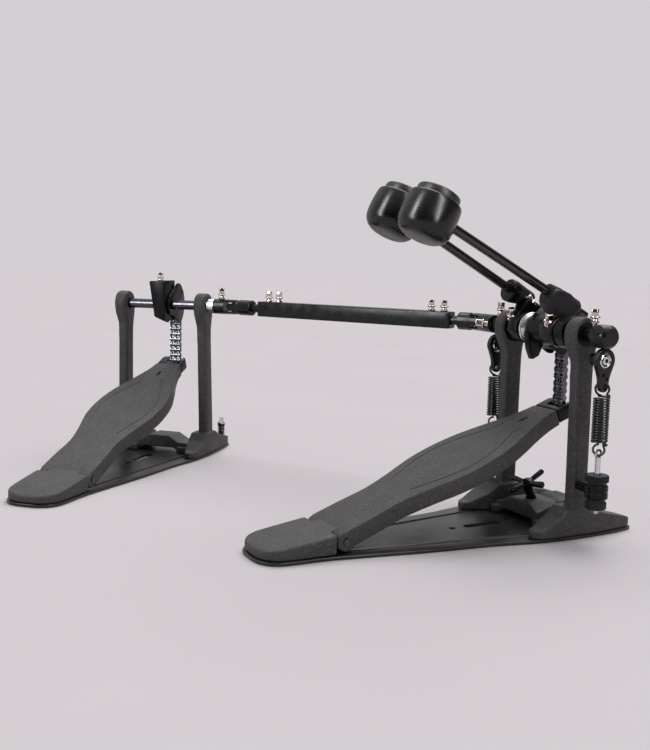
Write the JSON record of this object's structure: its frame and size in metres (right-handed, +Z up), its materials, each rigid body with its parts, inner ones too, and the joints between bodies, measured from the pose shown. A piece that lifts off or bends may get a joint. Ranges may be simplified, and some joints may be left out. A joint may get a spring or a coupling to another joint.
{
  "type": "double bass drum pedal",
  "caption": "Double bass drum pedal: main pedal with paired beaters, telescopic drive link and a slave pedal, chain driven.",
  "frame": {"origin": "on the floor face of the main base plate, straight under the middle of the main shaft", "axes": "+Z up, +Y forward to the drum, +X along the main shaft towards the end with the exposed right spring"},
  "size_m": [0.5961, 0.4894, 0.3045],
  "materials": {
    "textured_black": "sandy textured charcoal powder coat",
    "sheet_black": "satin black sheet",
    "machined_black": "satin black plated",
    "gloss_black": "gloss black",
    "beater_black": "satin black",
    "beater_face": "matt dark grey",
    "chrome": "polished",
    "aluminium": "machined",
    "chain_steel": "dark roller chain",
    "spring_black": "black plated wire"
  },
  "bodies": {
    "main_frame": {"main_base_plate": "sheet_black", "main_heel_plate": "textured_black", "main_hinge_pin": "chrome", "main_post_right": "textured_black", "main_post_left": "textured_black", "main_crossbar": "textured_black", "main_bearing_right": "chrome", "main_bearing_left": "chrome"},
    "right_drive": {"main_shaft": "machined_black", "main_cam": "machined_black", "right_beater_holder": "machined_black", "right_crank": "machined_black", "right_end_cap": "beater_black", "right_link_bearing": "chrome"},
    "right_beater": {"right_beater_rod": "gloss_black", "right_beater_head": "beater_black", "right_beater_face": "beater_face"},
    "main_board": {"main_footboard": "textured_black", "main_toe_bracket": "machined_black"},
    "main_chain_run": {"main_chain": "chain_steel"},
    "right_link": {"right_swivel_link": "machined_black"},
    "right_seat": {"right_spring_block": "machined_black", "right_eye_bolt": "chrome"},
    "right_nut": {"right_tension_nut": "machined_black"},
    "right_spring_top": {"right_spring": "spring_black"},
    "left_drive": {"left_hub": "machined_black", "left_beater_holder": "machined_black", "left_crank": "machined_black", "main_uj_yoke": "machined_black", "left_link_bearing": "chrome"},
    "left_beater": {"left_beater_rod": "gloss_black", "left_beater_head": "beater_black", "left_beater_face": "beater_face"},
    "left_link": {"left_swivel_link": "machined_black"},
    "left_seat": {"left_spring_block": "machined_black", "left_eye_bolt": "chrome"},
    "left_nut": {"left_tension_nut": "machined_black"},
    "left_spring_top": {"left_spring": "spring_black"},
    "clamp_jaw": {"hoop_clamp_jaw": "gloss_black"},
    "clamp_bolt": {"hoop_clamp_bolt": "gloss_black"},
    "link": {"link_main_rod": "machined_black", "link_sleeve": "machined_black", "main_uj_cross": "chrome"},
    "slave_frame": {"slave_base_plate": "sheet_black", "slave_heel_plate": "textured_black", "slave_hinge_pin": "chrome", "slave_post_right": "textured_black", "slave_post_left": "textured_black", "slave_crossbar": "textured_black"},
    "slave_rod": {"link_slave_rod": "machined_black", "slave_uj_cross": "chrome"},
    "slave_drive": {"slave_shaft": "chrome", "slave_cam": "machined_black", "slave_collar": "aluminium", "slave_uj_yoke": "machined_black"},
    "slave_board": {"slave_footboard": "textured_black", "slave_toe_bracket": "machined_black"},
    "slave_chain_run": {"slave_chain": "chain_steel"},
    "spur_right": {"slave_spur_right": "chrome"},
    "spur_left": {"slave_spur_left": "chrome"}
  },
  "joints": [
    {"name": "right_beater_swing", "type": "hinge", "parent": "main_frame", "child": "right_drive", "pos_m": [0.021, 0, 0.175], "axis": [-1, 0, 0], "range_deg": [0, 60], "stiffness_Nm_per_rad": 0.15, "springref_deg": -28.65},
    {"name": "left_beater_swing", "type": "hinge", "parent": "main_frame", "child": "left_drive", "pos_m": [-0.0335, 0, 0.175], "axis": [-1, 0, 0], "range_deg": [0, 60], "stiffness_Nm_per_rad": 0.15, "springref_deg": -28.65},
    {"name": "right_rod_slide", "type": "slide", "parent": "right_drive", "child": "right_beater", "axis": [0, -0.8949, 0.4462], "range_m": [-0.008, 0.012]},
    {"name": "left_rod_slide", "type": "slide", "parent": "left_drive", "child": "left_beater", "axis": [0, -0.8829, 0.4695], "range_m": [-0.008, 0.012]},
    {"name": "main_board_tilt", "type": "hinge", "parent": "main_frame", "child": "main_board", "pos_m": [0, -0.2047, 0.0123], "axis": [-1, 0, 0], "range_deg": [0, 6.9]},
    {"name": "main_chain_swing", "type": "hinge", "parent": "right_drive", "child": "main_chain_run", "pos_m": [0.003, 0.02477, 0.1893], "axis": [1, 0, 0], "range_deg": [0, 66.5]},
    {"name": "right_link_swing", "type": "hinge", "parent": "right_drive", "child": "right_link", "pos_m": [0.082, 0, 0.1555], "axis": [1, 0, 0], "range_deg": [0, 68.5]},
    {"name": "right_seat_tilt", "type": "hinge", "parent": "main_frame", "child": "right_seat", "pos_m": [0.082, 0, 0.0467], "axis": [1, 0, 0], "range_deg": [0, 8.3]},
    {"name": "right_spring_stretch", "type": "slide", "parent": "right_seat", "child": "right_spring_top", "axis": [0, 0, 1], "range_m": [0, 0.0111], "deforming": ["right_spring"]},
    {"name": "right_nut_turn", "type": "hinge", "parent": "right_seat", "child": "right_nut", "pos_m": [0.082, 0, 0.0568], "axis": [0, 0, 1], "continuous": true},
    {"name": "left_link_swing", "type": "hinge", "parent": "left_drive", "child": "left_link", "pos_m": [-0.0595, 0, 0.1555], "axis": [1, 0, 0], "range_deg": [0, 68.5]},
    {"name": "left_seat_tilt", "type": "hinge", "parent": "main_frame", "child": "left_seat", "pos_m": [-0.0595, 0, 0.0467], "axis": [1, 0, 0], "range_deg": [0, 8.3]},
    {"name": "left_spring_stretch", "type": "slide", "parent": "left_seat", "child": "left_spring_top", "axis": [0, 0, 1], "range_m": [0, 0.0111], "deforming": ["left_spring"]},
    {"name": "left_nut_turn", "type": "hinge", "parent": "left_seat", "child": "left_nut", "pos_m": [-0.0595, 0, 0.0568], "axis": [0, 0, 1], "continuous": true},
    {"name": "clamp_jaw_open", "type": "hinge", "parent": "main_frame", "child": "clamp_jaw", "pos_m": [0, 0.0215, 0.015], "axis": [1, 0, 0], "range_deg": [0, 10]},
    {"name": "clamp_bolt_turn", "type": "hinge", "parent": "main_frame", "child": "clamp_bolt", "pos_m": [0, 0.005, 0.0105], "axis": [0, -0.3584, 0.9336], "continuous": true},
    {"name": "link_spin", "type": "hinge", "parent": "main_frame", "child": "link", "pos_m": [-0.092, 0, 0.175], "axis": [-0.8652, -0.5015, 0], "range_deg": [0, 60]},
    {"name": "slave_frame_slide", "type": "slide", "parent": "main_frame", "child": "slave_frame", "axis": [-0.8652, -0.5015, 0], "range_m": [-0.008, 0.08]},
    {"name": "slave_rod_spin", "type": "hinge", "parent": "slave_frame", "child": "slave_rod", "pos_m": [-0.35232, -0.15091, 0.175], "axis": [-0.8652, -0.5015, 0], "range_deg": [0, 60]},
    {"name": "slave_drive_swing", "type": "hinge", "parent": "slave_frame", "child": "slave_drive", "pos_m": [-0.35232, -0.15091, 0.175], "axis": [-0.7034, -0.7108, 0], "range_deg": [0, 60]},
    {"name": "slave_board_tilt", "type": "hinge", "parent": "slave_frame", "child": "slave_board", "pos_m": [-0.26907, -0.35779, 0.0123], "axis": [-0.7034, -0.7108, 0], "range_deg": [0, 6.9]},
    {"name": "slave_chain_swing", "type": "hinge", "parent": "slave_drive", "child": "slave_chain_run", "pos_m": [-0.43007, -0.19426, 0.1893], "axis": [0.7034, 0.7108, 0], "range_deg": [0, 66.5]},
    {"name": "spur_right_screw", "type": "slide", "parent": "slave_frame", "child": "spur_right", "axis": [0, 0, 1], "range_m": [0, 0.006]},
    {"name": "spur_left_screw", "type": "slide", "parent": "slave_frame", "child": "spur_left", "axis": [0, 0, 1], "range_m": [0, 0.006]}
  ],
  "couplings": [
    {"joint": "main_board_tilt", "follows": "right_beater_swing", "ratio": 0.114},
    {"joint": "main_chain_swing", "follows": "right_beater_swing", "ratio": 1.105},
    {"joint": "right_link_swing", "follows": "right_beater_swing", "ratio": 1.135},
    {"joint": "right_seat_tilt", "follows": "right_beater_swing", "ratio": 0.135},
    {"joint": "right_spring_stretch", "follows": "right_beater_swing", "m_per_rad": 0.01046},
    {"joint": "left_link_swing", "follows": "left_beater_swing", "ratio": 1.135},
    {"joint": "left_seat_tilt", "follows": "left_beater_swing", "ratio": 0.135},
    {"joint": "left_spring_stretch", "follows": "left_beater_swing", "m_per_rad": 0.01046},
    {"joint": "link_spin", "follows": "left_beater_swing", "ratio": 1},
    {"joint": "slave_rod_spin", "follows": "left_beater_swing", "ratio": 1},
    {"joint": "slave_drive_swing", "follows": "left_beater_swing", "ratio": 1},
    {"joint": "slave_board_tilt", "follows": "left_beater_swing", "ratio": 0.114},
    {"joint": "slave_chain_swing", "follows": "left_beater_swing", "ratio": 1.105}
  ]
}
